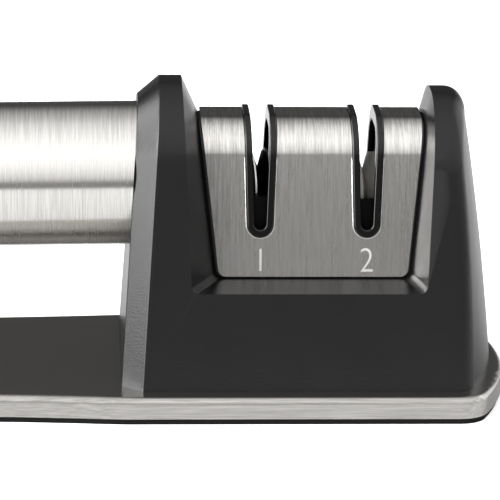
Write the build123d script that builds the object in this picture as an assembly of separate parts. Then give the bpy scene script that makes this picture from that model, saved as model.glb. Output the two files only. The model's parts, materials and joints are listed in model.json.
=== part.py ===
from build123d import *
import math
import os

# Frame: X runs along the handle towards the sharpening head, Z is up from the table.
# The origin is on the table, under the middle of the base. Lengths are in millimetres.

# Base tray, and how far from its ends the head and the rear post begin
base_length = 198.0
base_width = 56.8
base_top = 5.4
base_end_radius = 61.2
base_corner_radius = 6.0
waist_depth = 2.4
waist_blend_radius = 40.0
head_setback = 76.9
post_setback = 23.0
head_left_x = base_length / 2 - head_setback
post_inner_x = base_length / 2 - post_setback
tray_sheet = 0.8
rim_radius = 1.4
rim_lift = 1.2

# Rubber pad and weight plate
pad_inset = 0.5
pad_fit = 0.1
pad_top = 2.3
groove_width = 1.6
groove_depth = 0.5
groove_pitch = 9.0
groove_count = 4
groove_length = 120.0
core_fit = 0.15

# Screws from below
screw_shank_radius = 1.5
screw_head_radius = 2.8
screw_head_height = 1.3
screw_socket_radius = 1.3
screw_socket_depth = 0.8
screw_bite = 9.0
screw_clearance = 0.2
counterbore_depth = 1.5
boss_radius = 3.5
head_screw_steps = (22.9, 52.9)
head_screw_y = 15.5
post_screw_step = 10.0
post_screw_y = 16.5

# Head: half depth and lean of its flat faces, and how high its arched top is at the left pillar
# and at the right one. Its places along X are steps from the foot of its left face.
head_foot_half = 24.1
head_lean = 9.7
head_crown_half = 1.5
head_top_z = 62.5
shoulder_top_z = 60.5
head_wall = 2.4
head_left_slope = 0.058
facet_width = 4.2
facet_depth = 3.7
nose_centre_step = 24.9
nose_centre_x = head_left_x + nose_centre_step
nose_foot_radius = 49.5
nose_middle_radius = 47.1
nose_middle_rise = 23.0
nose_top_radius = 43.0
nose_top_rise = 51.0
shoulder_fillet = 3.6
facet_edge_radius = 0.5

# Recess round the saddle: where its bevels leave the faces and where they meet the saddle
recess_left_outer_step = 14.5
recess_left_outer_slope = -0.046
recess_left_inner_step = 21.2
recess_left_inner_slope = -0.121
recess_right_outer_step = 58.9
recess_right_outer_slope = 0.040
recess_right_inner_step = 54.85
recess_right_inner_slope = 0.094
recess_left_outer_x = head_left_x + recess_left_outer_step
recess_left_inner_x = head_left_x + recess_left_inner_step
recess_right_outer_x = head_left_x + recess_right_outer_step
recess_right_inner_x = head_left_x + recess_right_inner_step
ledge_outer_z = 24.3
ledge_inner_z = 25.45
recess_corner_radius = 1.6

# Steel saddle
saddle_foot_half = 16.16
saddle_lean = 7.5
saddle_crown_half = 3.3
saddle_top_z = 55.8
saddle_sheet = 0.8
saddle_gap = 0.4
saddle_lower_gap = 0.15
saddle_corner_radius = 1.7
core_wall = 1.5

# Slots and their liners
coarse_step = 27.2
fine_step = 48.2
coarse_x = head_left_x + coarse_step
fine_x = head_left_x + fine_step
slot_outer_top_half = 3.2
slot_outer_bottom_z = 33.4
slot_outer_bottom_half = 2.55
slot_inner_top_half = 1.85
slot_inner_bottom_z = 35.0
slot_inner_bottom_half = 1.15
trim_proud = 0.5
trim_fit = 0.05

# Wheels, their axles and the carrier that holds them
wheel_skew = 7.8
wheel_rim_radius = 7.3
wheel_groove_radius = 3.45
wheel_cone_angle = 20.0
wheel_thickness = 3.5
wheel_rim_chamfer = 0.4
wheel_pair_gap = 0.05
axle_radius = 1.25
axle_running_fit = 0.05
axle_seat = 3.0
coarse_axis_z = 40.8
fine_axis_z = 40.1
bay_wheel_clearance = 0.35
bay_side_clearance = 0.5
washer_radius = 2.7
washer_thickness = 0.38
washer_fit = 0.04
carrier_fit = 0.2
carrier_left_step = 19.5
carrier_right_step = 56.3
carrier_bottom_z = 19.5
carrier_post_radius = 3.6
carrier_screw_steps = (23.9, 51.9)

# Handle
tube_radius = 14.25
tube_sheet = 0.9
handle_axis_z = 43.3
handle_rise = 0.8
plug_length = 14.0
plug_relief_radius = 8.0
plug_relief_depth = 6.0
rod_radius = 2.5
rod_fit = 0.1
rod_head_radius = 4.6
rod_head_height = 3.2
rod_end_run = 5.5
nut_radius = 4.8
nut_height = 4.0
plate_washer_radius = 6.5
plate_washer_thickness = 1.2
seat_radius = 7.2
seat_height = 0.6

# Shared by all cuts: how far a cutting shape runs past what it cuts, and an angle in degrees
overrun = 4.0
far_x = 120.0
far_y = 60.0
far_z = 90.0
quarter_turn = 90.0


def tan_deg(angle):
    """Tangent of an angle in degrees."""
    return math.tan(math.radians(angle))


def cos_deg(angle):
    """Cosine of an angle in degrees."""
    return math.cos(math.radians(angle))


def sin_deg(angle):
    """Sine of an angle in degrees."""
    return math.sin(math.radians(angle))


def slab(x_low, x_high, y_low, y_high, z_low, z_high):
    """A straight block between six planes."""
    block = Box(x_high - x_low, y_high - y_low, z_high - z_low)
    return Pos((x_low + x_high) / 2, (y_low + y_high) / 2, (z_low + z_high) / 2) * block


def rod(x, y, z_low, z_high, radius):
    """An upright cylinder."""
    upright = Cylinder(radius, z_high - z_low)
    return Pos(x, y, (z_low + z_high) / 2) * upright


# Plan of the base


def waist_side(half, side):
    """One side of the base from the rear post to the head: a long hollow, blended into the straights."""
    middle_x = (head_left_x - post_inner_x) / 2
    reach = (head_left_x + post_inner_x) / 2
    hollow_radius = (reach ** 2 + waist_depth ** 2) / (2 * waist_depth)
    hollow_centre = Vector(middle_x, side * (half - waist_depth + hollow_radius), 0)
    both_radii = hollow_radius + waist_blend_radius
    blend_reach = math.sqrt(both_radii ** 2 - (both_radii - waist_depth) ** 2)
    edges = []
    meets = []
    for way in (-1, 1):
        centre = Vector(middle_x + way * blend_reach, side * (half - waist_blend_radius), 0)
        start = centre + Vector(0, side * waist_blend_radius, 0)
        meet = centre + (hollow_centre - centre).normalized() * waist_blend_radius
        middle = centre + (start + meet - centre * 2).normalized() * waist_blend_radius
        edges.append(ThreePointArc(start, middle, meet))
        meets.append(meet)
    lowest = Vector(middle_x, side * (half - waist_depth), 0)
    edges.append(ThreePointArc(meets[0], lowest, meets[1]))
    return edges, middle_x - blend_reach, middle_x + blend_reach


def plan(inset, z):
    """The base's outline, drawn in by an inset: bowed ends, straight sides and a waist under the handle."""
    half = base_width / 2 - inset
    end_x = base_length / 2 - inset
    end_radius = base_end_radius - inset
    corner_x = end_x - end_radius + math.sqrt(end_radius ** 2 - half ** 2)
    edges = []
    for side in (-1, 1):
        waist, low_x, high_x = waist_side(half, side)
        edges += waist
        edges.append(Line((high_x, side * half), (corner_x, side * half)))
        edges.append(Line((low_x, side * half), (-corner_x, side * half)))
        edges.append(ThreePointArc((side * corner_x, -half), (side * end_x, 0), (side * corner_x, half)))
    face = make_face(edges)
    corners = [v for v in face.vertices() if abs(abs(v.X) - corner_x) < tray_sheet]
    return Pos(0, 0, z) * fillet(corners, base_corner_radius - inset)


def plan_slab(inset, z_low, z_high, edge_radius=0):
    """The base's outline as a plate, with its upper edge rounded."""
    plate = extrude(plan(inset, z_low), z_high - z_low)
    if edge_radius > 0:
        plate = fillet(plate.faces().sort_by(Axis.Z)[-1].edges(), edge_radius)
    return plate


def head_screw_points():
    """Places of the four screws that hold the head."""
    return [(head_left_x + step, side * head_screw_y) for step in head_screw_steps for side in (-1, 1)]


def carrier_screw_points():
    """Places of the two screws that hold the wheel carrier."""
    return [(head_left_x + step, 0) for step in carrier_screw_steps]


def post_screw_points():
    """Places of the two screws that hold the rear post."""
    return [(-post_inner_x - post_screw_step, side * post_screw_y) for side in (-1, 1)]


def all_screw_points():
    """Places of every screw in the base."""
    return head_screw_points() + carrier_screw_points() + post_screw_points()


def make_base_cover():
    """Pressed steel tray: flat top, rolled rim, open underneath, drilled for the screws."""
    outer = plan_slab(0, rim_lift, base_top, rim_radius)
    inner = plan_slab(tray_sheet, rim_lift - overrun, base_top - tray_sheet, rim_radius - tray_sheet)
    tray = outer - inner
    for x, y in all_screw_points():
        tray -= rod(x, y, base_top - overrun, base_top + overrun, screw_shank_radius + screw_clearance)
    return tray


def make_base_core():
    """Weight plate inside the tray, counterbored for the screw heads."""
    core = plan_slab(tray_sheet + core_fit, pad_top, base_top - tray_sheet, rim_radius - tray_sheet)
    for x, y in all_screw_points():
        core -= rod(x, y, pad_top - overrun, base_top + overrun, screw_shank_radius + screw_clearance)
        core -= rod(x, y, pad_top - overrun, pad_top + counterbore_depth,
                    screw_head_radius + screw_clearance)
    return core


def make_rubber_pad():
    """Pad that fills the tray's underside, with a foot that stands out under the tray's edge."""
    pad = plan_slab(pad_inset, 0, rim_lift)
    pad += plan_slab(tray_sheet + pad_fit, 0, pad_top)
    for index in range(groove_count):
        y = (index - (groove_count - 1) / 2) * groove_pitch
        pad -= slab(-groove_length / 2, groove_length / 2, y - groove_width / 2, y + groove_width / 2,
                    -overrun, groove_depth)
    return pad


def make_screw(x, y):
    """One pan head screw, driven up from below into its boss."""
    seat = pad_top + counterbore_depth
    screw = rod(x, y, seat - screw_head_height, seat, screw_head_radius)
    screw += rod(x, y, seat - screw_head_height / 2, base_top + screw_bite, screw_shank_radius)
    socket = extrude(Pos(x, y, seat - screw_head_height) * RegularPolygon(screw_socket_radius, 6),
                     screw_socket_depth)
    return screw - socket


def make_screws(points):
    """A set of screws as separate solids."""
    return Compound([make_screw(x, y).solid() for x, y in points])


# Arched sections


def bend_radius(foot_half, lean, crown_half, top_z):
    """Radius of an arch's two bends, which run smoothly from the leaning flanks into the flat crown."""
    flank_rise = (foot_half - crown_half) / tan_deg(lean) - (top_z - base_top)
    return flank_rise / (1 / sin_deg(lean) - 1)


def arch_section(foot_half, lean, crown_half, top_z, x, slope, inset=0):
    """A flat face across the head: leaning flanks, two bends and a flat crown, in a plane that may lean."""
    radius = bend_radius(foot_half, lean, crown_half, top_z)
    centre_z = top_z - radius
    foot = foot_half - inset / cos_deg(lean)
    bend = radius - inset
    middle = (lean + quarter_turn) / 2
    crown_z = top_z - inset

    def at(y, z):
        return (x + slope * (z - base_top), y, z)

    def on_bend(side, angle):
        return at(side * (crown_half + bend * cos_deg(angle)), centre_z + bend * sin_deg(angle))

    edges = [
        Line(at(-foot, base_top), on_bend(-1, lean)),
        ThreePointArc(on_bend(-1, lean), on_bend(-1, middle), at(-crown_half, crown_z)),
        Line(at(-crown_half, crown_z), at(crown_half, crown_z)),
        ThreePointArc(at(crown_half, crown_z), on_bend(1, middle), on_bend(1, lean)),
        Line(on_bend(1, lean), at(foot, base_top)),
        Line(at(foot, base_top), at(-foot, base_top)),
    ]
    return Face(Wire(edges))


def head_section(x, slope, inset=0):
    """The head's section at its left pillar."""
    return arch_section(head_foot_half, head_lean, head_crown_half, head_top_z, x, slope, inset)


def shoulder_section(x, slope, inset=0):
    """The head's section at its lower right pillar."""
    return arch_section(head_foot_half, head_lean, head_crown_half, shoulder_top_z, x, slope, inset)


def saddle_section(x, slope, inset=0):
    """The steel saddle's section."""
    return arch_section(saddle_foot_half, saddle_lean, saddle_crown_half, saddle_top_z, x, slope, inset)


def span(first, second):
    """A ruled solid between two sections."""
    return loft([first, second], ruled=True)


def nose(inset=0):
    """The bowed end of the head: a turned form whose wall curves in towards the top."""
    low = (nose_centre_x + nose_foot_radius - inset, base_top)
    middle = (nose_centre_x + nose_middle_radius - inset, base_top + nose_middle_rise)
    top = (nose_centre_x + nose_top_radius - inset, base_top + nose_top_rise)
    lip = (top[0], far_z)

    def at(point):
        return (point[0], 0, point[1])

    edges = [
        Line((nose_centre_x, 0, base_top), at(low)),
        ThreePointArc(at(low), at(middle), at(top)),
        Line(at(top), at(lip)),
        Line(at(lip), (nose_centre_x, 0, far_z)),
        Line((nose_centre_x, 0, far_z), (nose_centre_x, 0, base_top)),
    ]
    return revolve(Face(Wire(edges)), Axis((nose_centre_x, 0, 0), (0, 0, 1)))


def chamfered_side(x, section, inset=0):
    """The head's left end: a leaning flat face with a broad bevel along its flanks and over its top."""
    side = section(x, head_left_slope, inset + facet_depth)
    edge = section(x + facet_width, head_left_slope, inset)
    return side, edge


def pillar(x_start, section, x_end, inset=0):
    """A length of the head from a bevelled left side to the bowed nose."""
    side, edge = chamfered_side(x_start + inset, section, inset)
    block = span(side, edge) + span(edge, section(x_end, 0, inset))
    return block & nose(inset)


def round_shoulder(form, beyond_x):
    """Round the edge between the arch and the bowed nose."""
    arch_z = shoulder_top_z - bend_radius(head_foot_half, head_lean, head_crown_half, shoulder_top_z)
    edges = [e for e in form.edges() if e.center().Z > arch_z and e.center().X > beyond_x
             and e.geom_type != GeomType.LINE]
    return fillet(edges, shoulder_fillet)


def round_bevel(form, before_x):
    """Soften the two outlines of the broad bevel."""
    edges = [e for e in form.edges() if e.center().X < before_x and e.center().Z > ledge_outer_z]
    return fillet(edges, facet_edge_radius)


def ledge_profile(outer_z, inner_z, inset):
    """Side view of the head below the recess, up to its two ledges."""
    lean_out = head_foot_half - (outer_z - base_top) * tan_deg(head_lean) - inset / cos_deg(head_lean)
    lean_in = saddle_foot_half - (inner_z - base_top) * tan_deg(saddle_lean) - saddle_sheet - inset
    foot = head_foot_half - inset / cos_deg(head_lean)
    points = [(-foot, base_top), (-lean_out, outer_z), (-lean_in, inner_z),
              (lean_in, inner_z), (lean_out, outer_z), (foot, base_top)]
    return [(0, y, z) for y, z in points]


def lower_block(x_low, x_high, outer_z, inner_z, inset=0):
    """The head below the recess as a straight length."""
    points = ledge_profile(outer_z, inner_z, inset)
    face = Face(Wire([Line(a, b) for a, b in zip(points, points[1:] + points[:1])]))
    return Pos(x_low, 0, 0) * extrude(face, x_high - x_low, dir=(1, 0, 0))


def flank_point(foot_half, lean, x, slope, z, inset=0):
    """A point on the front flank of a section, at a given height."""
    y = -(foot_half - inset / cos_deg(lean)) + (z - base_top) * tan_deg(lean)
    return Vector(x + slope * (z - base_top), y, z)


def cove_section(foot_half, lean, x, slope, ledge_z, inward, inset=0):
    """Cross-section of the rounded lower corner of the recess, in the plane of one flank."""
    radius = recess_corner_radius
    corner = flank_point(foot_half, lean, x, slope, ledge_z, inset)
    wall = flank_point(foot_half, lean, x, slope, ledge_z + radius, inset)
    step = Vector(inward * radius, 0, 0)
    ledge = corner + step
    centre = wall + step
    middle = centre + (corner - centre).normalized() * radius
    buried = corner - step - (wall - corner)
    edges = [ThreePointArc(wall, middle, ledge), Line(ledge, buried), Line(buried, wall)]
    return Face(Wire(edges))


def recess_coves(outer_x, outer_slope, inner_x, inner_slope, inward):
    """Fills the sharp lower corners of the recess on one side with rounded coves, front and back."""
    outer = cove_section(head_foot_half, head_lean, outer_x, outer_slope, ledge_outer_z, inward)
    inner = cove_section(saddle_foot_half, saddle_lean, inner_x, inner_slope, ledge_inner_z, inward,
                         saddle_sheet)
    front = span(outer, inner)
    return [front, mirror(front, Plane.XZ)]


def recessed_form():
    """The head's outer form with the recess for the saddle cut round it."""
    left_outer = head_section(recess_left_outer_x, recess_left_outer_slope)
    left_inner = saddle_section(recess_left_inner_x, recess_left_inner_slope, saddle_sheet)
    right_inner = saddle_section(recess_right_inner_x, recess_right_inner_slope, saddle_sheet)
    right_outer = shoulder_section(recess_right_outer_x, recess_right_outer_slope)
    side, edge = chamfered_side(head_left_x, head_section)
    form = span(side, edge) + span(edge, left_outer)
    form += span(left_outer, left_inner)
    form += span(left_inner, right_inner)
    form += span(right_inner, right_outer)
    form += span(right_outer, shoulder_section(far_x, 0)) & nose()
    lower = lower_block(recess_left_outer_x - overrun, recess_right_outer_x + overrun,
                        ledge_outer_z, ledge_inner_z)
    for cove in recess_coves(recess_left_outer_x, recess_left_outer_slope,
                             recess_left_inner_x, recess_left_inner_slope, 1):
        lower += cove
    for cove in recess_coves(recess_right_outer_x, recess_right_outer_slope,
                             recess_right_inner_x, recess_right_inner_slope, -1):
        lower += cove
    return form + lower


def head_hollows():
    """The space inside the head's walls, open at the bottom, in simple lengths."""
    left_x = recess_left_outer_x - head_wall
    right_x = recess_right_outer_x + head_wall
    side, edge = chamfered_side(head_left_x + head_wall, head_section, head_wall)
    nose_room = span(shoulder_section(right_x, recess_right_outer_slope, head_wall),
                     shoulder_section(far_x, 0, head_wall)) & nose(head_wall)
    core_room = span(saddle_section(left_x - overrun, 0, saddle_sheet + core_wall),
                     saddle_section(right_x + overrun, 0, saddle_sheet + core_wall))
    lower_room = lower_block(left_x - overrun, right_x + overrun, ledge_outer_z - head_wall,
                             ledge_inner_z - head_wall, head_wall)
    return [nose_room, core_room, lower_room,
            span(edge, head_section(left_x, recess_left_outer_slope, head_wall)), span(side, edge)]


# Slots


def slot_face(centre_x, top_half, bottom_half, bottom_z, grow=0):
    """Front view of a slot: sides that close in a little downwards, and a round bottom."""
    top = top_half + grow
    radius = bottom_half + grow
    round_z = bottom_z + bottom_half
    top_z = saddle_top_z + trim_proud
    widen = (top - radius) / (top_z - round_z)
    high = top_z + overrun
    high_half = top + widen * overrun
    edges = [
        Line((centre_x - high_half, 0, high), (centre_x - radius, 0, round_z)),
        ThreePointArc((centre_x - radius, 0, round_z), (centre_x, 0, round_z - radius),
                      (centre_x + radius, 0, round_z)),
        Line((centre_x + radius, 0, round_z), (centre_x + high_half, 0, high)),
        Line((centre_x + high_half, 0, high), (centre_x - high_half, 0, high)),
    ]
    return Face(Wire(edges))


def slot_cut(face):
    """A slot's front view as a bar from front to back."""
    return Pos(0, -far_y / 2, 0) * extrude(face, far_y, dir=(0, 1, 0))


def slot_outer(centre_x, grow=0):
    """The liner's outer outline as a bar."""
    return slot_cut(slot_face(centre_x, slot_outer_top_half, slot_outer_bottom_half,
                              slot_outer_bottom_z, grow))


def slot_inner(centre_x):
    """The way for the blade as a bar."""
    return slot_cut(slot_face(centre_x, slot_inner_top_half, slot_inner_bottom_half,
                              slot_inner_bottom_z))


def on_wheel_axis(shape, centre_x, axis_z):
    """Lay a shape that was made along X on a stage's axle line."""
    return Pos(centre_x, 0, axis_z) * Rot(0, 0, wheel_skew) * shape


def wheel_bay(centre_x, axis_z):
    """Room for a pair of wheels to turn."""
    half = wheel_pair_gap + wheel_thickness + bay_side_clearance
    room = Rot(0, 90, 0) * Cylinder(wheel_rim_radius + bay_wheel_clearance, 2 * half)
    return on_wheel_axis(room, centre_x, axis_z)


def bay_shaft(centre_x, axis_z):
    """The bay carried up to the slot, through the top of the carrier."""
    half = wheel_pair_gap + wheel_thickness + bay_side_clearance
    room = slab(-half, half, -far_y / 2, far_y / 2, 0, far_z)
    return on_wheel_axis(room, centre_x, axis_z)


STAGES = {"coarse": (coarse_x, coarse_axis_z), "fine": (fine_x, fine_axis_z)}


# Head pieces


def handle_frame(x):
    """Where the handle's axis passes a given X, with its own Z along the handle."""
    z = handle_axis_z + (x - head_left_x) * tan_deg(handle_rise)
    return Pos(x, 0, z) * Rot(0, 90 - handle_rise, 0)


def handle_bar(x_low, x_high, radius):
    """A cylinder along the handle's axis."""
    length = (x_high - x_low) / cos_deg(handle_rise)
    return handle_frame((x_low + x_high) / 2) * Cylinder(radius, length)


def make_head_housing():
    """Moulded housing: two pillars, a recess and core for the saddle, hollow below."""
    housing = round_shoulder(recessed_form(), recess_right_outer_x + shoulder_fillet)
    housing = round_bevel(housing, recess_left_outer_x - facet_width)
    for hollow in head_hollows():
        housing -= hollow
    housing += rod_seat(rod_ends()[0])
    for x, y in head_screw_points():
        housing += rod(x, y, base_top, ledge_outer_z - head_wall / 2, boss_radius)
        housing -= rod(x, y, base_top - overrun, base_top + screw_bite, screw_shank_radius)
    for centre_x, axis_z in STAGES.values():
        housing -= slot_outer(centre_x, trim_fit)
        housing -= wheel_bay(centre_x, axis_z)
    housing -= handle_bar(-post_inner_x, recess_left_outer_x, rod_radius + rod_fit)
    return housing


def make_slot_cover():
    """Steel saddle folded over the core, open at the two slots."""
    left_x = recess_left_inner_x + saddle_gap
    right_x = recess_right_inner_x - saddle_gap
    cover = span(saddle_section(left_x, recess_left_inner_slope),
                 saddle_section(right_x, recess_right_inner_slope))
    cover -= span(saddle_section(left_x - overrun, recess_left_inner_slope, saddle_sheet),
                  saddle_section(right_x + overrun, recess_right_inner_slope, saddle_sheet))
    cover_low = ledge_inner_z + saddle_lower_gap
    cover -= slab(0, far_x, -far_y, far_y, 0, cover_low)
    corners = [e for e in cover.edges()
               if abs(e.center().Z - cover_low) < saddle_sheet and e.length < 2 * saddle_sheet]
    cover = fillet(corners, saddle_corner_radius)
    for centre_x in (coarse_x, fine_x):
        cover -= slot_outer(centre_x, trim_fit)
    return cover


def make_slot_trim(centre_x, axis_z):
    """Glossy liner of one slot: a U on each face, joined over the top, hollowed for the wheels."""
    left_x = centre_x - 2 * slot_outer_top_half
    right_x = centre_x + 2 * slot_outer_top_half
    outside = span(saddle_section(left_x, 0, -trim_proud), saddle_section(right_x, 0, -trim_proud))
    inside = span(saddle_section(left_x, 0, saddle_sheet + core_wall),
                  saddle_section(right_x, 0, saddle_sheet + core_wall))
    ring = slot_outer(centre_x) - slot_inner(centre_x)
    return (ring & (outside - inside)) - wheel_bay(centre_x, axis_z)


def make_wheel_carrier():
    """Block inside the saddle's core: three uprights that hold the axles, on two legs."""
    inset = saddle_sheet + core_wall + carrier_fit
    carrier = span(saddle_section(head_left_x + carrier_left_step, 0, inset),
                   saddle_section(head_left_x + carrier_right_step, 0, inset))
    carrier -= slab(0, far_x, -far_y, far_y, 0, carrier_bottom_z)
    for centre_x, axis_z in STAGES.values():
        carrier -= bay_shaft(centre_x, axis_z)
        carrier -= wheel_bay(centre_x, axis_z)
        carrier -= axle_bar(centre_x, axis_z)
    for x, y in carrier_screw_points():
        carrier += rod(x, y, base_top, carrier_bottom_z, carrier_post_radius)
        carrier -= rod(x, y, base_top - overrun, base_top + screw_bite, screw_shank_radius)
    return carrier


def axle_bar(centre_x, axis_z):
    """The axle of one pair of wheels."""
    half = wheel_pair_gap + wheel_thickness + bay_side_clearance + axle_seat
    return on_wheel_axis(Rot(0, 90, 0) * Cylinder(axle_radius, 2 * half), centre_x, axis_z)


def make_wheel(side, centre_x, axis_z):
    """One grinding wheel: a steep cone towards its partner, a rim and a chamfered back."""
    inner = wheel_pair_gap
    cone_end = inner + (wheel_rim_radius - wheel_groove_radius) * tan_deg(wheel_cone_angle)
    outer = inner + wheel_thickness
    bore = axle_radius + axle_running_fit
    points = [
        (inner, bore),
        (inner, wheel_groove_radius),
        (cone_end, wheel_rim_radius),
        (outer - wheel_rim_chamfer, wheel_rim_radius),
        (outer, wheel_rim_radius - wheel_rim_chamfer),
        (outer, bore),
    ]
    corners = [(side * along, 0, radius) for along, radius in points]
    face = Face(Wire([Line(a, b) for a, b in zip(corners, corners[1:] + corners[:1])]))
    return on_wheel_axis(revolve(face, Axis.X), centre_x, axis_z)


def make_wheel_washers(centre_x, axis_z):
    """The two thin washers outside a pair of wheels."""
    rings = []
    for side in (-1, 1):
        middle = wheel_pair_gap + wheel_thickness + washer_fit + washer_thickness / 2
        ring = Cylinder(washer_radius, washer_thickness)
        ring -= Cylinder(axle_radius + axle_running_fit, washer_thickness + overrun)
        placed = on_wheel_axis(Pos(side * middle, 0, 0) * Rot(0, 90, 0) * ring, centre_x, axis_z)
        rings.append(placed.solid())
    return Compound(rings)


# Handle and rear post


def handle_ends_trimmed(bar):
    """Cut a bar to the leaning side faces of the head and the rear post."""
    length = head_left_x + post_inner_x
    head_side = slanted_block(head_left_x, length)
    post_side = mirror(slanted_block(post_inner_x, length), Plane.YZ)
    return bar & head_side & post_side


def slanted_block(x, length):
    """A block that ends in the plane of a leaning side face and runs back from it."""
    low, high = base_top, far_z
    lean = head_left_slope * (high - low)
    points = [(x, 0, low), (x + lean, 0, high), (x - length - far_x, 0, high), (x - length - far_x, 0, low)]
    face = Face(Wire([Line(a, b) for a, b in zip(points, points[1:] + points[:1])]))
    return Pos(0, -far_y / 2, 0) * extrude(face, far_y, dir=(0, 1, 0))


def make_handle_tube():
    """Brushed steel tube between the head and the rear post."""
    outer = handle_bar(-far_x, far_x, tube_radius)
    inner = handle_bar(-far_x - overrun, far_x + overrun, tube_radius - tube_sheet)
    return handle_ends_trimmed(outer - inner)


def make_plug(front):
    """Plug in one end of the tube, bored for the tie rod and relieved on its inner side."""
    end_x = head_left_x if front else -post_inner_x
    step = -1 if front else 1
    low, high = sorted((end_x + step * plug_length, end_x - step * overrun))
    plug = handle_bar(low, high, tube_radius - tube_sheet)
    relief_low, relief_high = sorted((end_x + step * (plug_length - plug_relief_depth),
                                      end_x + step * (plug_length + overrun)))
    plug -= handle_bar(relief_low, relief_high, plug_relief_radius)
    plug -= handle_bar(low - overrun, high + overrun, rod_radius + rod_fit)
    return handle_ends_trimmed(plug)


def rod_ends():
    """Where the tie rod's washers bear inside the head and the post."""
    depth = head_left_slope * (handle_axis_z - base_top) + head_wall + seat_height
    return head_left_x + depth, -(post_inner_x + depth)


def rod_seat(seat_x):
    """A boss inside a leaning wall, squared to the handle for the tie rod's washer."""
    inward = math.copysign(1, seat_x)
    low, high = sorted((seat_x, seat_x - inward * (seat_height + head_wall / 2)))
    return handle_bar(low, high, seat_radius)


def wall_washer(seat_x, outward):
    """A plate washer on the inside of a leaning wall."""
    low, high = sorted((seat_x, seat_x + outward * plate_washer_thickness))
    ring = handle_bar(low, high, plate_washer_radius)
    return ring - handle_bar(low - overrun, high + overrun, rod_radius + rod_fit)


def make_handle_tie_rod():
    """Rod through the tube with its head inside the sharpening head."""
    head_face, post_face = rod_ends()
    bearing = head_face + plate_washer_thickness
    tail = post_face - plate_washer_thickness - nut_height - rod_end_run / 2
    bar = handle_bar(tail, bearing, rod_radius)
    return bar + handle_bar(bearing, bearing + rod_head_height, rod_head_radius)


def make_tie_rod_nut():
    """Hexagon nut on the tie rod inside the rear post."""
    post_face = rod_ends()[1] - plate_washer_thickness
    hexagon = extrude(RegularPolygon(nut_radius, 6), nut_height)
    nut = handle_frame(post_face - nut_height) * hexagon
    return nut - handle_bar(post_face - 2 * nut_height, post_face + overrun, rod_radius)


def make_tie_rod_washers():
    """The plate washers at both ends of the tie rod."""
    head_face, post_face = rod_ends()
    return Compound([wall_washer(head_face, 1).solid(), wall_washer(post_face, -1).solid()])


def make_rear_post():
    """Moulded post that carries the handle's far end, hollow from below."""
    outside = pillar(post_inner_x, shoulder_section, far_x)
    outside = round_shoulder(outside, post_inner_x + 2 * facet_width)
    outside = mirror(round_bevel(outside, post_inner_x + 2 * facet_width), Plane.YZ)
    post = outside - mirror(pillar(post_inner_x, shoulder_section, far_x, head_wall), Plane.YZ)
    for x, y in post_screw_points():
        post += rod(x, y, base_top, base_top + nose_middle_rise, boss_radius) & outside
        post -= rod(x, y, base_top - overrun, base_top + screw_bite, screw_shank_radius)
    post += rod_seat(rod_ends()[1])
    post -= handle_bar(rod_ends()[1] - overrun, -post_inner_x + overrun, rod_radius + rod_fit)
    return post


def build_all():
    """Every node's shape by name."""
    nodes = {
        "base_cover": make_base_cover(),
        "base_core": make_base_core(),
        "rubber_pad": make_rubber_pad(),
        "head_housing": make_head_housing(),
        "slot_cover": make_slot_cover(),
        "slot_trim_1": make_slot_trim(coarse_x, coarse_axis_z),
        "slot_trim_2": make_slot_trim(fine_x, fine_axis_z),
        "wheel_carrier": make_wheel_carrier(),
        "head_screws": make_screws(head_screw_points()),
        "carrier_screws": make_screws(carrier_screw_points()),
        "post_screws": make_screws(post_screw_points()),
        "handle_tube": make_handle_tube(),
        "handle_front_plug": make_plug(True),
        "handle_rear_plug": make_plug(False),
        "handle_tie_rod": make_handle_tie_rod(),
        "tie_rod_nut": make_tie_rod_nut(),
        "tie_rod_washers": make_tie_rod_washers(),
        "rear_post": make_rear_post(),
    }
    for stage, (centre_x, axis_z) in STAGES.items():
        nodes[f"{stage}_wheel_left"] = make_wheel(-1, centre_x, axis_z)
        nodes[f"{stage}_wheel_right"] = make_wheel(1, centre_x, axis_z)
        nodes[f"{stage}_axle"] = axle_bar(centre_x, axis_z)
        nodes[f"{stage}_wheel_washers"] = make_wheel_washers(centre_x, axis_z)
    return nodes


def main():
    """Write each node to its own file."""
    os.makedirs("parts", exist_ok=True)
    for name, shape in build_all().items():
        export_step(shape, os.path.join("parts", f"{name}.step"))
        print(f"{name}: {len(shape.solids())} solids, {shape.volume:.1f} mm3")


main()
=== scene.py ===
import json
import logging
import math
from collections.abc import Callable
from dataclasses import dataclass
from enum import Enum
from functools import cache

import bpy
from mathutils import Matrix, Vector


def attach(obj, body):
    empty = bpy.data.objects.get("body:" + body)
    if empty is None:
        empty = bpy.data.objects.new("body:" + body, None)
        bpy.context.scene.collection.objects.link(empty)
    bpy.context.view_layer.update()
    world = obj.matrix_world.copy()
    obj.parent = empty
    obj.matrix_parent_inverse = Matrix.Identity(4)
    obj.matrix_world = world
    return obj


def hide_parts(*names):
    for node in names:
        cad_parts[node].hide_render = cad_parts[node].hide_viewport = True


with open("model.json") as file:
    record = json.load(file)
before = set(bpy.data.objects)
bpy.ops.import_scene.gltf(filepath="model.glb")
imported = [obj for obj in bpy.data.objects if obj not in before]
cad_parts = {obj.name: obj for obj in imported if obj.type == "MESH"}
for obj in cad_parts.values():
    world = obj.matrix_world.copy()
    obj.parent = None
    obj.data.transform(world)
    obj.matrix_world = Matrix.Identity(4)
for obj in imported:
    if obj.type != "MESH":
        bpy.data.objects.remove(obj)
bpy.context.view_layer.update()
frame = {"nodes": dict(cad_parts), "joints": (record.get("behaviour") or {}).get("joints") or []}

# A pull through knife sharpener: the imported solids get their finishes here, and the small forms that they
# don't carry are added. A field that ends in _mm is in millimetres, and all that Blender gets is in metres.
MM = 0.001
BODY = "body"
# Points of a drawn piece that lie nearer than this are one point
SAME_PLACE = 0.001 * MM
WHITE = (1.0, 1.0, 1.0, 1.0)
log = logging.getLogger("knife_sharpener")

Socket = bpy.types.NodeSocket
Colour = tuple[float, float, float, float]
Range = tuple[float, float]


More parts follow.
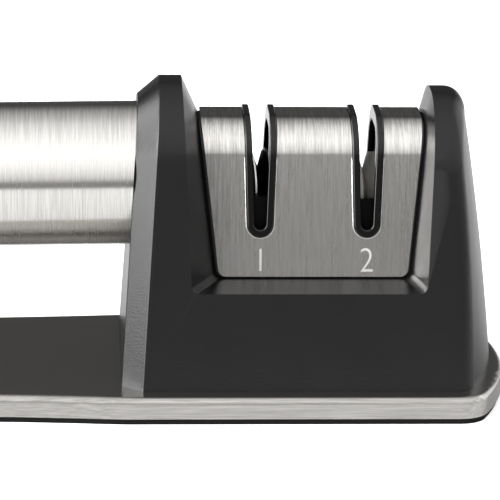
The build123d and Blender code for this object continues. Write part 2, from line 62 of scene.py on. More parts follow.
def linear(code: str) -> Colour:
    """Turn an sRGB hex value into the linear colour that a shader takes.

    Args:
        code: six hex digits after a hash sign.

    Returns:
        Linear red, green, blue and an alpha of one.
    """
    def channel(start: int) -> float:
        """One channel as a linear value."""
        value = int(code[start:start + 2], 16) / 255
        return value / 12.92 if value <= 0.04045 else ((value + 0.055) / 1.055) ** 2.4
    return channel(1), channel(3), channel(5), 1.0


def add_node(tree: bpy.types.NodeTree, kind: str, sockets: dict[str | int, object] | None = None,
             **options: object) -> bpy.types.Node:
    """Add one node, set its options and fill its sockets.

    Args:
        tree: the node tree that gets the node.
        kind: the node's type name.
        sockets: values or other nodes' outputs, by socket name or number.
        **options: the node's own settings.

    Returns:
        The new node.
    """
    node = tree.nodes.new(kind)
    for name, value in options.items():
        setattr(node, name, value)
    for key, value in (sockets or {}).items():
        if isinstance(value, Socket):
            tree.links.new(value, node.inputs[key])
        else:
            node.inputs[key].default_value = value
    return node


def per_metre(pitch_mm: float) -> float:
    """Texture scale that repeats once in a given number of millimetres."""
    return 1 / (pitch_mm * MM)


class Grain(Enum):
    """Which way a steel surface was brushed."""

    ALONG = "along the handle"
    AROUND = "around the handle's axis"


@dataclass(frozen=True)
class Finish:
    """What every finish shares: its name, and the start and the end of its node tree."""

    name: str

    def make(self) -> bpy.types.Material:
        """Build the material, which each kind of finish does in its own way."""
        raise NotImplementedError

    def start(self) -> tuple[bpy.types.Material, bpy.types.NodeTree, Socket]:
        """Make an empty material.

        Returns:
            The material, its tree and the object coordinates' socket.
        """
        material = bpy.data.materials.new(self.name)
        material.use_nodes = True
        tree = material.node_tree
        tree.nodes.clear()
        coordinates = add_node(tree, "ShaderNodeTexCoord")
        return material, tree, coordinates.outputs["Object"]

    @staticmethod
    def close(tree: bpy.types.NodeTree, shader: bpy.types.Node) -> None:
        """Send a shader to the material's output."""
        add_node(tree, "ShaderNodeOutputMaterial", {"Surface": shader.outputs[0]})


NodeFinishes = tuple[tuple[str, Finish], ...]


@dataclass(frozen=True)
class BrushedStainless(Finish):
    """Stainless steel brushed with a fine belt: its scratches smear a reflection across them into a band."""

    grain: Grain
    colour: str = "#e6e4e1"
    dark_line_colour: str = "#c4c2be"
    # Real belt lines are about 0.1 mm apart, half a pixel, so they are drawn a few times as coarse, to show
    line_pitch_mm: float = 0.3
    line_length_mm: float = 12.0
    line_detail: float = 4.0
    line_unevenness: float = 0.7
    # The stretches of the lines' pattern, from 0 to 1, over which the colour and the gloss change
    colour_range: Range = (0.36, 0.64)
    gloss_range: Range = (0.3, 0.7)
    roughness: float = 0.24
    roughness_swing: float = 0.1
    anisotropy: float = 0.85
    # A quarter of a turn lays the smear across the scratches
    smear_turn: float = 0.25
    bump_mm: float = 0.002

    def make(self) -> bpy.types.Material:
        """Build the material.

        Returns:
            The brushed steel, its lines running as the grain says.
        """
        material, tree, place = self.start()
        across, along = per_metre(self.line_pitch_mm), per_metre(self.line_length_mm)
        if self.grain is Grain.ALONG:
            scale = (along, across, across)
            tangent = add_node(tree, "ShaderNodeCombineXYZ", {"X": 1.0})
        else:
            scale = (across, along, along)
            normal = add_node(tree, "ShaderNodeNewGeometry").outputs["Normal"]
            tangent = add_node(tree, "ShaderNodeVectorMath", {0: normal, 1: (1, 0, 0)},
                               operation="CROSS_PRODUCT")
        stretched = add_node(tree, "ShaderNodeVectorMath", {0: place, 1: scale}, operation="MULTIPLY")
        lines = add_node(tree, "ShaderNodeTexNoise",
                         {"Vector": stretched.outputs[0], "Scale": 1.0, "Detail": self.line_detail,
                          "Roughness": self.line_unevenness}).outputs["Fac"]
        share = add_node(tree, "ShaderNodeMapRange",
                         {"Value": lines, "From Min": self.colour_range[0],
                          "From Max": self.colour_range[1]})
        tint = add_node(tree, "ShaderNodeMix",
                        {0: share.outputs[0], 6: linear(self.dark_line_colour), 7: linear(self.colour)},
                        data_type="RGBA")
        rough = add_node(tree, "ShaderNodeMapRange",
                         {"Value": lines, "From Min": self.gloss_range[0], "From Max": self.gloss_range[1],
                          "To Min": self.roughness + self.roughness_swing / 2,
                          "To Max": self.roughness - self.roughness_swing / 2})
        bump = add_node(tree, "ShaderNodeBump",
                        {"Height": lines, "Strength": 1.0, "Distance": self.bump_mm * MM})
        shader = add_node(tree, "ShaderNodeBsdfPrincipled",
                          {"Base Color": tint.outputs[2], "Metallic": 1.0, "Roughness": rough.outputs[0],
                           "Anisotropic": self.anisotropy, "Anisotropic Rotation": self.smear_turn,
                           "Tangent": tangent.outputs[0], "Normal": bump.outputs[0]})
        self.close(tree, shader)
        return material


@dataclass(frozen=True)
class MouldedPlastic(Finish):
    """Plastic or rubber as it comes from the mould: one colour, a fine grain, and gloss in broad patches."""

    colour: str
    roughness: float
    specular: float = 0.5
    # The grain of a spark-eroded mould is about 0.1 mm, half a pixel, so it is drawn coarser, to show
    grain_mm: float = 0.35
    grain_detail: float = 3.0
    bump_mm: float = 0.004
    # The gloss swings by a share of itself, in broad patches that the plastic's flow leaves
    patch_mm: float = 14.0
    gloss_swing: float = 0.12

    def make(self) -> bpy.types.Material:
        """Build the material.

        Returns:
            The moulded plastic.
        """
        material, tree, place = self.start()
        grain = add_node(tree, "ShaderNodeTexNoise",
                         {"Vector": place, "Scale": per_metre(self.grain_mm), "Detail": self.grain_detail})
        patches = add_node(tree, "ShaderNodeTexNoise", {"Vector": place, "Scale": per_metre(self.patch_mm)})
        rough = add_node(tree, "ShaderNodeMapRange",
                         {"Value": patches.outputs["Fac"], "To Min": self.roughness * (1 + self.gloss_swing),
                          "To Max": self.roughness * (1 - self.gloss_swing)})
        bump = add_node(tree, "ShaderNodeBump",
                        {"Height": grain.outputs["Fac"], "Strength": 1.0, "Distance": self.bump_mm * MM})
        shader = add_node(tree, "ShaderNodeBsdfPrincipled",
                          {"Base Color": linear(self.colour), "Roughness": rough.outputs[0],
                           "Specular IOR Level": self.specular, "Normal": bump.outputs[0]})
        self.close(tree, shader)
        return material


@dataclass(frozen=True)
class GroundSurface(Finish):
    """A hard surface, ground, plated, etched or fired: one colour, and a faint cloud in its gloss."""

    colour: str
    roughness: float
    metallic: float = 1.0
    cloud_mm: float = 1.5
    cloud_detail: float = 4.0
    gloss_swing: float = 0.2
    bump_mm: float = 0.004

    def make(self) -> bpy.types.Material:
        """Build the material.

        Returns:
            The ground surface.
        """
        material, tree, place = self.start()
        cloud = add_node(tree, "ShaderNodeTexNoise",
                         {"Vector": place, "Scale": per_metre(self.cloud_mm), "Detail": self.cloud_detail})
        rough = add_node(tree, "ShaderNodeMapRange",
                         {"Value": cloud.outputs["Fac"], "To Min": self.roughness * (1 - self.gloss_swing),
                          "To Max": self.roughness * (1 + self.gloss_swing)})
        bump = add_node(tree, "ShaderNodeBump",
                        {"Height": cloud.outputs["Fac"], "Strength": 1.0, "Distance": self.bump_mm * MM})
        shader = add_node(tree, "ShaderNodeBsdfPrincipled",
                          {"Base Color": linear(self.colour), "Metallic": self.metallic,
                           "Roughness": rough.outputs[0], "Normal": bump.outputs[0]})
        self.close(tree, shader)
        return material


@dataclass(frozen=True)
class GritWheel(Finish):
    """A steel wheel coated with dark grit, its working edge worn bright where blades run on it."""

    # Both wheels turn on one axle, so one wheel's joint gives the centre line of both
    joint: str
    grit_colour: str = "#1b1b1c"
    edge_colour: str = "#dddcd8"
    grit_mm: float = 0.18
    grit_height_mm: float = 0.03
    grit_depth: float = 0.6
    grit_roughness: float = 0.55
    edge_roughness: float = 0.25
    # The worn edge is farther than this from the axle's line, and along it nearer than this to the joint
    edge_radius_mm: float = 6.95
    edge_reach_mm: float = 1.75

    def make(self) -> bpy.types.Material:
        """Build the material.

        Returns:
            The wheel's finish: bright within its edge, dark grit elsewhere.
        """
        material, tree, place = self.start()
        joint = next(j for j in frame["joints"] if j["name"] == self.joint)
        centre, axle = Vector(joint["pos_m"]), Vector(joint["axis"]).normalized()
        offset = add_node(tree, "ShaderNodeVectorMath", {0: place, 1: centre}, operation="SUBTRACT")
        along = add_node(tree, "ShaderNodeVectorMath", {0: offset.outputs[0], 1: axle},
                         operation="DOT_PRODUCT")
        reach = add_node(tree, "ShaderNodeMath", {0: along.outputs["Value"]}, operation="ABSOLUTE")
        across = add_node(tree, "ShaderNodeVectorMath", {0: offset.outputs[0], 1: axle},
                          operation="CROSS_PRODUCT")
        radius = add_node(tree, "ShaderNodeVectorMath", {0: across.outputs[0]}, operation="LENGTH")
        outer = add_node(tree, "ShaderNodeMath", {0: radius.outputs["Value"], 1: self.edge_radius_mm * MM},
                         operation="GREATER_THAN")
        inner = add_node(tree, "ShaderNodeMath", {0: reach.outputs[0], 1: self.edge_reach_mm * MM},
                         operation="LESS_THAN")
        edge = add_node(tree, "ShaderNodeMath", {0: outer.outputs[0], 1: inner.outputs[0]},
                        operation="MULTIPLY")
        grit = add_node(tree, "ShaderNodeTexVoronoi", {"Vector": place, "Scale": per_metre(self.grit_mm)})
        bump = add_node(tree, "ShaderNodeBump",
                        {"Height": grit.outputs["Distance"], "Strength": self.grit_depth,
                         "Distance": self.grit_height_mm * MM})
        tint = add_node(tree, "ShaderNodeMix",
                        {0: edge.outputs[0], 6: linear(self.grit_colour), 7: linear(self.edge_colour)},
                        data_type="RGBA")
        rough = add_node(tree, "ShaderNodeMapRange",
                         {"Value": edge.outputs[0], "To Min": self.grit_roughness,
                          "To Max": self.edge_roughness})
        shader = add_node(tree, "ShaderNodeBsdfPrincipled",
                          {"Base Color": tint.outputs[2], "Metallic": 1.0, "Roughness": rough.outputs[0],
                           "Normal": bump.outputs[0]})
        self.close(tree, shader)
        return material


# Stainless sheet, brushed lengthwise before it was pressed: a calm grey top with long lines, and a rim that
# catches the light as one bright stripe. Its colours are painted darker than the other stainless's, as
# painted shade for the shaded table and the dark parts that the top and the rim mirror
STEEL_SHEET_PAINTED_SHADE = BrushedStainless("brushed_stainless_tray_painted_shade", Grain.ALONG, "#c0bebb", "#a4a29e",
                               roughness=0.2, anisotropy=0.7)
# Stainless tube, brushed while it turned: light and dark bands run along it, crossed by fine rings
STEEL_AROUND = BrushedStainless("brushed_stainless_tube", Grain.AROUND)
# Stainless sheet, brushed over its bend: a bright streaked crown above grey flanks with upright lines, which
# are drawn coarser than the tube's, as they show in the photograph
STEEL_SADDLE = BrushedStainless("brushed_stainless_saddle", Grain.AROUND, "#e6e4e1", "#aeaca7",
                                line_pitch_mm=0.42, line_length_mm=9.0)
# ABS from a spark-eroded mould: near black, with broad soft reflections on the chamfer and the nose, and a
# grain that only shows where light falls flat across it
SATIN_ABS = MouldedPlastic("satin_black_abs", "#0b0b0c", 0.26, specular=0.35, grain_mm=0.4, bump_mm=0.022)
# The same ABS inside the sharpener, left rough; its colour is painted darker and its gloss turned down, as
# painted shade, so that it is black and almost without gloss, and the slots look deep
INNER_ABS_PAINTED_SHADE = MouldedPlastic("inner_abs_painted_shade", "#030303", 0.5, specular=0.1)
# ABS from a polished mould: black liners with thin sharp highlights and no grain
GLOSS_ABS = MouldedPlastic("gloss_black_abs", "#060606", 0.14, specular=0.4, bump_mm=0.0)
# Moulded rubber: a matt, slightly pebbled black line under the tray, without highlights
RUBBER = MouldedPlastic("nonslip_rubber", "#060606", 0.75, specular=0.2, grain_mm=0.5, bump_mm=0.02)
# Stainless edge, punched and deburred: a thin line round each liner, brighter than the brushed flank
SLOT_RIM = GroundSurface("deburred_steel_edge", "#efedea", 0.24, cloud_mm=0.6)
# Etched stainless, frosted: it mirrors little, so the digits stay pale while the steel round them changes
ETCHING = GroundSurface("etched_steel_digits", "#b4b4b1", 0.6, metallic=0.4, cloud_mm=0.3)
# Zinc plated steel fasteners: a cool, slightly blue grey with a clouded gloss
ZINC = GroundSurface("zinc_plated_steel", "#b9bbbf", 0.35)
# Hot rolled steel plate, left raw: a dull dark grey
WEIGHT_STEEL = GroundSurface("raw_weight_steel", "#6a6a6c", 0.5)
# Steel wheel with bonded grit: dark and rough, with a bright crescent at its worn edge
COARSE_WHEEL = GritWheel("grit_coated_steel_wheel", "coarse_left_spin")
# Fired ceramic, ground: a pale warm grey with a soft sheen, not a metal's
FINE_CERAMIC = GroundSurface("fine_wheel_ceramic", "#b5b2ac", 0.35, metallic=0.0, cloud_mm=0.5)


@cache
def material_of(finish: Finish) -> bpy.types.Material:
    """Build a finish's material once, for all the pieces that wear it."""
    return finish.make()


def finish_node(node: str, finish: Finish) -> None:
    """Give a carried-over CAD node its finish.

    Args:
        node: the node's name.
        finish: what it wears.
    """
    piece = frame["nodes"][node]
    piece.data.materials.clear()
    piece.data.materials.append(material_of(finish))
    log.info("%s: %s", node, finish.name)


def finish_piece(piece: bpy.types.Object, finish: Finish) -> None:
    """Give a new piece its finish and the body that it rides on.

    Args:
        piece: the new piece, in its place.
        finish: what it wears.
    """
    piece.data.materials.clear()
    piece.data.materials.append(material_of(finish))
    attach(piece, BODY)
    log.info("%s: %d faces, %s", piece.name, len(piece.data.polygons), finish.name)


def pick_vertices(piece: bpy.types.Object, wanted: Callable[[Vector], bool]) -> None:
    """Go to edit mode with the vertices at chosen places selected, and nothing else.

    Args:
        piece: the active piece.
        wanted: says of a vertex's place whether it is chosen.
    """
    bpy.ops.object.mode_set(mode="EDIT")
    bpy.ops.mesh.select_mode(type="VERT")
    bpy.ops.mesh.select_all(action="DESELECT")
    bpy.ops.object.mode_set(mode="OBJECT")
    for vertex in piece.data.vertices:
        vertex.select = wanted(vertex.co)
    bpy.ops.object.mode_set(mode="EDIT")


def join_doubles() -> None:
    """Join the active piece's doubled points and turn its faces outwards."""
    bpy.ops.object.mode_set(mode="EDIT")
    bpy.ops.mesh.select_all(action="SELECT")
    bpy.ops.mesh.remove_doubles(threshold=SAME_PLACE)
    bpy.ops.mesh.normals_make_consistent(inside=False)
    bpy.ops.object.mode_set(mode="OBJECT")


@dataclass(frozen=True)
class DressedNode:
    """A copy of a CAD node whose sharp edges are broken, as a mould or a deburring wheel leaves them."""

    node: str
    slot: str
    finish: Finish
    edge_mm: float
    # Edges that turn by more than this are rounded, and the others are shaded as one face
    sharp_degrees: float = 34.0
    # Triangles that turn by less than this are parts of one flat face
    flat_degrees: float = 0.4
    joined_mm: float = 0.002
    segments: int = 3

    def build(self) -> None:
        """Copy the node, join its loose triangles, round its edges and let the copy stand for it."""
        source = frame["nodes"][self.node]
        piece = bpy.data.objects.new(f"{self.node}_dressed", source.data.copy())
        bpy.context.scene.collection.objects.link(piece)
        bpy.ops.object.select_all(action="DESELECT")
        piece.select_set(True)
        bpy.context.view_layer.objects.active = piece
        bpy.ops.object.mode_set(mode="EDIT")
        bpy.ops.mesh.select_all(action="SELECT")
        bpy.ops.mesh.remove_doubles(threshold=self.joined_mm * MM)
        bpy.ops.mesh.select_all(action="SELECT")
        bpy.ops.mesh.dissolve_limited(angle_limit=math.radians(self.flat_degrees))
        bpy.ops.object.mode_set(mode="OBJECT")
        bevel = piece.modifiers.new("edges", "BEVEL")
        bevel.width = self.edge_mm * MM
        bevel.segments = self.segments
        bevel.limit_method = "ANGLE"
        bevel.angle_limit = math.radians(self.sharp_degrees)
        bpy.ops.object.modifier_apply(modifier=bevel.name)
        bpy.ops.object.shade_smooth_by_angle(angle=math.radians(self.sharp_degrees))
        # Without weights the narrow rounded edges would bend the shading of the flat faces beside them
        weights = piece.modifiers.new("flat_faces", "WEIGHTED_NORMAL")
        weights.keep_sharp = True
        bpy.ops.object.modifier_apply(modifier=weights.name)
        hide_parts(self.node)
        finish_piece(piece, self.finish)


@dataclass(frozen=True)
class SaddleFlank:
    """The saddle's flat front or back face below its bend, which carries the digits and the slots' rims."""

    foot_mm: float = 16.16
    base_top_mm: float = 5.4
    lean_degrees: float = 7.5

    def lay(self, piece: bpy.types.Object, x_mm: float, z_mm: float, proud_mm: float,
            at_back: bool = False) -> None:
        """Lay a piece that was drawn in the XY plane about the origin on the flank.

        Args:
            piece: the drawn piece.
            x_mm: its place along the handle.
            z_mm: its height.
            proud_mm: how far it stands off the steel.
            at_back: whether it goes on the back flank.
        """
        lean = math.radians(self.lean_degrees)
        y_mm = -self.foot_mm + (z_mm - self.base_top_mm) * math.tan(lean)
        outward = Vector((0, -math.cos(lean), math.sin(lean))) * proud_mm
        upright = Matrix.Rotation(math.radians(90) - lean, 4, "X")
        on_front = Matrix.Translation((Vector((0, y_mm, z_mm)) + outward) * MM) @ upright
        turn = Matrix.Rotation(math.pi if at_back else 0.0, 4, "Z")
        piece.data.transform(Matrix.Translation((x_mm * MM, 0, 0)) @ turn @ on_front)


@dataclass(frozen=True)
class SlotRims:
    """The thin bright rim of steel round each liner, left where the slot was punched and deburred."""

    flank: SaddleFlank = SaddleFlank()
    slot_x_mm: tuple[float, float] = (49.3, 70.3)
    # The slot in the steel: its round bottom's radius and middle, and how its sides open upwards
    bottom_radius_mm: float = 2.6
    bottom_middle_z_mm: float = 35.95
    opening_share: float = 0.032
    # The rim dies away where the flank begins to bend: over this last share of its height, its bead shrinks
    # to the same share of its width
    rim_top_z_mm: float = 49.4
    rim_end_share: float = 0.12
    bead_radius_mm: float = 0.13
    bead_steps: int = 3
    steps_round: int = 48

    def rim(self, name: str) -> bpy.types.Object:
        """Model one U shaped bead in the XY plane, the middle of its round bottom at the origin.

        Args:
            name: the piece's name.

        Returns:
            The bead as a closed mesh.
        """
        radius = self.bottom_radius_mm + self.bead_radius_mm
        rise = self.rim_top_z_mm - self.bottom_middle_z_mm
        bpy.ops.object.select_all(action="DESELECT")
        bpy.ops.mesh.primitive_circle_add(vertices=self.steps_round, radius=radius * MM)
        piece = bpy.context.object
        piece.name = name
        # The circle's lower half is the slot's bottom, and each of its ends is drawn up into a leg
        pick_vertices(piece, lambda place: place.y > SAME_PLACE)
        bpy.ops.mesh.delete(type="VERT")
        for side in (1, -1):
            pick_vertices(piece, lambda place: abs(place.y) < SAME_PLACE and place.x * side > 0)
            for share in (1 - self.rim_end_share, self.rim_end_share):
                up = rise * share * MM
                bpy.ops.mesh.extrude_region_move(
                    TRANSFORM_OT_translate={"value": (side * self.opening_share * up, up, 0)})
        bpy.ops.object.mode_set(mode="OBJECT")
        bpy.ops.object.convert(target="CURVE")
        line = bpy.context.object.data
        line.dimensions = "3D"
        line.bevel_depth = self.bead_radius_mm * MM
        line.bevel_resolution = self.bead_steps
        line.use_fill_caps = True
        points = line.splines[0].points
        points[0].radius = points[-1].radius = self.rim_end_share
        bpy.ops.object.convert(target="MESH")
        piece = bpy.context.object
        join_doubles()
        bpy.ops.object.shade_smooth()
        return piece

    def build(self) -> None:
        """Make a rim for each slot, front and back."""
        for number, x_mm in enumerate(self.slot_x_mm, 1):
            for face, at_back in (("front", False), ("back", True)):
                piece = self.rim(f"slot_rim_{number}_{face}")
                self.flank.lay(piece, x_mm, self.bottom_middle_z_mm, 0.0, at_back)
                finish_piece(piece, SLOT_RIM)


@dataclass(frozen=True)
class StageDigits:
    """The two etched digits below the slots, which number the sharpening stages."""

    flank: SaddleFlank = SaddleFlank()
    # Width and height of each digit, and the place of its middle along the handle
    one_size_mm: tuple[float, float] = (0.42, 4.4)
    two_size_mm: tuple[float, float] = (2.5, 4.75)
    one_x_mm: float = 49.4
    two_x_mm: float = 70.3
    middle_z_mm: float = 29.0
    proud_mm: float = 0.02
    # How far the letter's outline is drawn in before it is scaled, as a share of the letter's size
    thinner: float = 0.014

    def letter(self, name: str, body: str, size_mm: tuple[float, float]) -> bpy.types.Object:
        """Model one flat digit as a mesh in the XY plane.

        Args:
            name: the piece's name.
            body: the letter that is drawn; a plain bar stands for the one.
            size_mm: width and height.

        Returns:
            The digit, centred on the origin and facing up.
        """
        bpy.ops.object.select_all(action="DESELECT")
        bpy.ops.object.text_add()
        bpy.context.object.data.body = body
        bpy.context.object.data.offset = -self.thinner
        bpy.ops.object.convert(target="MESH")
        piece = bpy.context.object
        piece.name = name
        lows, highs = zip(*[(min(axis), max(axis)) for axis in zip(*[v.co for v in piece.data.vertices])])
        width, height = highs[0] - lows[0], highs[1] - lows[1]
        centre = Vector(((lows[0] + highs[0]) / 2, (lows[1] + highs[1]) / 2, 0))
        scale = Matrix.Diagonal((size_mm[0] * MM / width, size_mm[1] * MM / height, 1, 1))
        piece.data.transform(scale @ Matrix.Translation(-centre))
        join_doubles()
        if piece.data.polygons[0].normal.z < 0:
            piece.data.flip_normals()
        return piece

    def build(self) -> None:
        """Make both digits and lay them on the steel."""
        for name, body, size_mm, x_mm in (("digit_one", "I", self.one_size_mm, self.one_x_mm),
                                          ("digit_two", "2", self.two_size_mm, self.two_x_mm)):
            piece = self.letter(name, body, size_mm)
            self.flank.lay(piece, x_mm, self.middle_z_mm, self.proud_mm)
            finish_piece(piece, ETCHING)


@dataclass
class SubAssembly:
    """Pieces of the sharpener that are put together before the rest, each with its finish."""

    nodes: NodeFinishes

    def build(self) -> None:
        """Give the CAD nodes their finishes."""
        for node, finish in self.nodes:
            finish_node(node, finish)


@dataclass
class Base(SubAssembly):
    """The foot: a pressed steel tray, the weight plate inside it and the pad below."""

    nodes: NodeFinishes = (
        ("base_cover", STEEL_SHEET_PAINTED_SHADE),
        ("base_core", WEIGHT_STEEL),
        ("rubber_pad", RUBBER),
    )


@dataclass
class Handle(SubAssembly):
    """The tube with its plugs, the rod that clamps it, and the post at its far end."""

    nodes: NodeFinishes = (
        ("handle_tube", STEEL_AROUND),
        ("handle_front_plug", INNER_ABS_PAINTED_SHADE),
        ("handle_rear_plug", INNER_ABS_PAINTED_SHADE),
        ("handle_tie_rod", ZINC),
        ("tie_rod_nut", ZINC),
        ("tie_rod_washers", ZINC),
        ("rear_post", SATIN_ABS),
        ("post_screws", ZINC),
    )


@dataclass
class Head(SubAssembly):
    """The moulded housing with its two pillars, and the screws that hold it."""

    nodes: NodeFinishes = (
        ("head_housing", SATIN_ABS),
        ("head_screws", ZINC),
    )
    housing_edge_mm: float = 0.5

    def build(self) -> None:
        """Finish the nodes and round the housing's edges."""
        super().build()
        DressedNode("head_housing", "black_abs", SATIN_ABS, self.housing_edge_mm).build()


@dataclass
class SharpeningUnit(SubAssembly):
    """The steel saddle with its two lined slots, and the carrier, wheels and axles inside it."""

    nodes: NodeFinishes = (
        ("slot_cover", STEEL_SADDLE),
        ("slot_trim_1", GLOSS_ABS),
        ("slot_trim_2", GLOSS_ABS),
        ("wheel_carrier", INNER_ABS_PAINTED_SHADE),
        ("carrier_screws", ZINC),
        ("coarse_wheel_left", COARSE_WHEEL),
        ("coarse_wheel_right", COARSE_WHEEL),
        ("coarse_axle", ZINC),
        ("coarse_wheel_washers", ZINC),
        ("fine_wheel_left", FINE_CERAMIC),
        ("fine_wheel_right", FINE_CERAMIC),
        ("fine_axle", ZINC),
        ("fine_wheel_washers", ZINC),
    )
    saddle_edge_mm: float = 0.12
    liner_edge_mm: float = 0.3
    rims: SlotRims = SlotRims()
    digits: StageDigits = StageDigits()

    def build(self) -> None:
        """Finish the nodes, round the edges of the saddle and the liners, and add rims and digits."""
        super().build()
        DressedNode("slot_cover", "brushed_steel", STEEL_SADDLE, self.saddle_edge_mm).build()
        DressedNode("slot_trim_1", "gloss_black", GLOSS_ABS, self.liner_edge_mm).build()
        DressedNode("slot_trim_2", "gloss_black", GLOSS_ABS, self.liner_edge_mm).build()
        self.rims.build()
        self.digits.build()


class Side(Enum):
    """The side of the studio that a softbox stands at, as the sign of a direction's X."""

    LEFT = -1.0
    RIGHT = 1.0


@dataclass(frozen=True)
class SoftBox:
    """A large light at one side of the studio, with soft edges.

    A range is where such an edge begins and where it ends, in one part of a direction, from -1 to 1: its X
    for the edge towards the middle, its Z for the bottom and its Y for the depth.
    """

    side: Side
    brightness: float
    edge: Range
    bottom: Range = (-0.22, -0.08)
    # Where it fades from front to back, and its share of the light before and after that
    depth: Range = (0.0, 1.0)
    depth_shares: Range = (1.0, 1.0)


def white_rays(tree: bpy.types.NodeTree, rays: bpy.types.Node) -> Socket:
    """Find the rays that see a white background: the camera's, and those that pass through clear things.

    Args:
        tree: the node tree that asks.
        rays: its light path node.

    Returns:
        One for such a ray, and nought for any other.
    """
    either = add_node(tree, "ShaderNodeMath",
                      {0: rays.outputs["Is Camera Ray"], 1: rays.outputs["Is Transmission Ray"]},
                      operation="MAXIMUM")
    return either.outputs[0]


@dataclass
class Studio:
    """White floor, and a studio with soft light overhead, a dark wall behind and softboxes at the sides."""

    floor_left_mm: float = -420.0
    floor_right_mm: float = 600.0
    floor_front_mm: float = -260.0
    floor_back_mm: float = 1500.0
    # The table is nearly white
    floor_colour: str = "#efefef"
    # In reflections the table is darker, so that steel and plastic near it keep their contrast
    mirrored_floor_colour: str = "#c4c4c4"
    # Glow that lifts the table to white for the camera, and lets the object's shadow show
    floor_lift: float = 0.45
    # Brightness of the studio by its angle over the object: 0 at the front horizon, 90 overhead, 180 behind
    sky: tuple[tuple[float, float], ...] = (
        (-180, 0.1), (-16, 0.5), (-9, 0.1), (-1, 0.12), (5, 0.7), (22, 1.1), (50, 1.4), (80, 1.25),
        (98, 1.0), (112, 0.7), (129, 0.45), (144, 0.16), (154, 0.06), (168, 0.08), (180, 0.06))
    # A low strip at the left, towards the front, lights the head's chamfer, a raised box at the left the
    # chamfer's top, and a tall box at the right, behind, the head's nose
    boxes: tuple[SoftBox, ...] = (
        SoftBox(Side.LEFT, 12.0, edge=(0.5, 0.8), depth=(-0.14, -0.04), depth_shares=(1.0, 0.0)),
        SoftBox(Side.LEFT, 6.5, edge=(0.5, 0.8), bottom=(0.22, 0.36)),
        SoftBox(Side.RIGHT, 1.4, edge=(0.35, 0.75), depth=(0.0, 0.3), depth_shares=(0.0, 1.0)),
    )

    def sky_light(self, tree: bpy.types.NodeTree, parts: bpy.types.Node) -> Socket:
        """Brightness by the angle over the object.

        Args:
            tree: the world's tree.
            parts: the direction's three parts.

        Returns:
            The brightness as a socket.
        """
        front = add_node(tree, "ShaderNodeMath", {0: parts.outputs["Y"], 1: -1.0}, operation="MULTIPLY")
        angle = add_node(tree, "ShaderNodeMath", {0: parts.outputs["Z"], 1: front.outputs[0]},
                         operation="ARCTAN2")
        share = add_node(tree, "ShaderNodeMapRange",
                         {"Value": angle.outputs[0], "From Min": -math.pi, "From Max": math.pi})
        ramp = add_node(tree, "ShaderNodeValToRGB", {0: share.outputs[0]})
        brightest = max(value for _, value in self.sky)
        stops = ramp.color_ramp.elements
        while len(stops) < len(self.sky):
            stops.new(0.5)
        for stop, (degrees, value) in zip(stops, self.sky):
            stop.position = (degrees + 180) / 360
            level = value / brightest
            stop.color = (level, level, level, 1)
        full = add_node(tree, "ShaderNodeMath", {0: ramp.outputs[0], 1: brightest}, operation="MULTIPLY")
        return full.outputs[0]

    def box_light(self, tree: bpy.types.NodeTree, parts: bpy.types.Node, box: SoftBox) -> Socket:
        """Brightness of one softbox.

        Args:
            tree: the world's tree.
            parts: the direction's three parts.
            box: where the softbox stands, and how bright it is.

        Returns:
            The brightness as a socket.
        """
        sideways = add_node(tree, "ShaderNodeMath", {0: parts.outputs["X"], 1: box.side.value},
                            operation="MULTIPLY")
        depth = add_node(tree, "ShaderNodeMapRange",
                         {"Value": parts.outputs["Y"], "From Min": box.depth[0], "From Max": box.depth[1],
                          "To Min": box.depth_shares[0], "To Max": box.depth_shares[1]},
                         interpolation_type="SMOOTHSTEP")
        within = add_node(tree, "ShaderNodeMath", {0: sideways.outputs[0], 1: depth.outputs[0]},
                          operation="MULTIPLY")
        aside = add_node(tree, "ShaderNodeMapRange",
                         {"Value": within.outputs[0], "From Min": box.edge[0], "From Max": box.edge[1]},
                         interpolation_type="SMOOTHSTEP")
        above = add_node(tree, "ShaderNodeMapRange",
                         {"Value": parts.outputs["Z"], "From Min": box.bottom[0], "From Max": box.bottom[1],
                          "To Max": box.brightness},
                         interpolation_type="SMOOTHSTEP")
        light = add_node(tree, "ShaderNodeMath", {0: aside.outputs[0], 1: above.outputs[0]},
                         operation="MULTIPLY")
        return light.outputs[0]

    def make_world(self) -> None:
        """Make the surroundings: a white background to the camera, the studio's light to all else.

        Glossy rays see the studio and not plain white, because brushed steel and satin ABS show what stands
        round them: the dark bands along the tube and the bright chamfer are the studio's reflections.
        """
        world = bpy.data.worlds.new("studio")
        bpy.context.scene.world = world
        world.use_nodes = True
        tree = world.node_tree
        tree.nodes.clear()
        direction = add_node(tree, "ShaderNodeTexCoord").outputs["Generated"]
        parts = add_node(tree, "ShaderNodeSeparateXYZ", {0: direction})
        light = self.sky_light(tree, parts)
        for box in self.boxes:
            light = add_node(tree, "ShaderNodeMath", {0: light, 1: self.box_light(tree, parts, box)},
                             operation="ADD").outputs[0]
        lit = add_node(tree, "ShaderNodeBackground", {"Color": WHITE, "Strength": light})
        white = add_node(tree, "ShaderNodeBackground", {"Color": WHITE, "Strength": 1.0})
        rays = add_node(tree, "ShaderNodeLightPath")
        mixed = add_node(tree, "ShaderNodeMixShader",
                         {0: white_rays(tree, rays), 1: lit.outputs[0], 2: white.outputs[0]})
        add_node(tree, "ShaderNodeOutputWorld", {"Surface": mixed.outputs[0]})

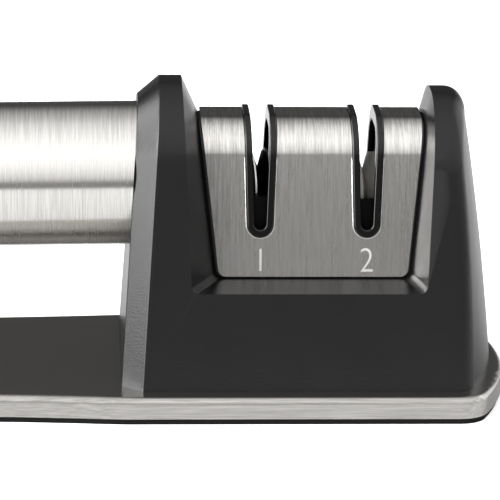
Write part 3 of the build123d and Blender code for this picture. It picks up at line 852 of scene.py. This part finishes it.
    def make_floor(self) -> None:
        """Make the pale table top."""
        bpy.ops.object.select_all(action="DESELECT")
        bpy.ops.mesh.primitive_plane_add(size=1)
        floor = bpy.context.object
        floor.name = "floor"
        width = self.floor_right_mm - self.floor_left_mm
        depth = self.floor_back_mm - self.floor_front_mm
        middle = Vector(((self.floor_left_mm + self.floor_right_mm) / 2,
                         (self.floor_front_mm + self.floor_back_mm) / 2, 0)) * MM
        floor.data.transform(Matrix.Translation(middle) @ Matrix.Diagonal((width * MM, depth * MM, 1, 1)))
        material = bpy.data.materials.new("white_table")
        material.use_nodes = True
        tree = material.node_tree
        tree.nodes.clear()
        rays = add_node(tree, "ShaderNodeLightPath")
        lift = add_node(tree, "ShaderNodeMath", {0: white_rays(tree, rays), 1: self.floor_lift},
                        operation="MULTIPLY")
        colour = add_node(tree, "ShaderNodeMix",
                          {0: rays.outputs["Is Glossy Ray"], 6: linear(self.floor_colour),
                           7: linear(self.mirrored_floor_colour)},
                          data_type="RGBA")
        matt = add_node(tree, "ShaderNodeBsdfDiffuse", {"Color": colour.outputs[2]})
        glow = add_node(tree, "ShaderNodeEmission", {"Color": WHITE, "Strength": lift.outputs[0]})
        both = add_node(tree, "ShaderNodeAddShader", {0: matt.outputs[0], 1: glow.outputs[0]})
        add_node(tree, "ShaderNodeOutputMaterial", {"Surface": both.outputs[0]})
        floor.data.materials.append(material)
        log.info("%s: %s", floor.name, material.name)

    def build(self) -> None:
        """Set up the studio."""
        bpy.context.scene.view_settings.view_transform = "Standard"
        self.make_world()
        self.make_floor()


@dataclass
class PhotoCamera:
    """The camera at the photograph's place: a long lens, a little above the object."""

    place_mm: tuple[float, float, float] = (12.6, -672.0, 220.2)
    aim_mm: tuple[float, float, float] = (48.0, 0.0, 27.28)
    roll_degrees: float = 0.869
    lens_mm: float = 252.0
    sensor_mm: float = 36.0
    nearest_mm: float = 10.0
    farthest_mm: float = 20000.0

    def build(self) -> None:
        """Make the camera and hand it to the scene."""
        data = bpy.data.cameras.new("photo_camera")
        data.lens, data.sensor_width = self.lens_mm, self.sensor_mm
        data.clip_start, data.clip_end = self.nearest_mm * MM, self.farthest_mm * MM
        camera = bpy.data.objects.new("photo_camera", data)
        bpy.context.scene.collection.objects.link(camera)
        place, aim = Vector(self.place_mm) * MM, Vector(self.aim_mm) * MM
        forward = (aim - place).normalized()
        right = forward.cross(Vector((0, 0, 1))).normalized()
        up = right.cross(forward)
        turn = math.radians(self.roll_degrees)
        rolled_right = right * math.cos(turn) + up * math.sin(turn)
        rolled_up = up * math.cos(turn) - right * math.sin(turn)
        axes = Matrix((rolled_right, rolled_up, -forward)).transposed()
        camera.matrix_world = Matrix.Translation(place) @ axes.to_4x4()
        bpy.context.scene.camera = camera
        log.info("%s: %g mm lens", camera.name, self.lens_mm)


def main() -> None:
    """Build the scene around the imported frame."""
    logging.basicConfig(level=logging.INFO, format="%(message)s")
    for part in (PhotoCamera(), Studio(), Base(), Handle(), Head(), SharpeningUnit()):
        part.build()


if __name__ == "__main__":
    main()
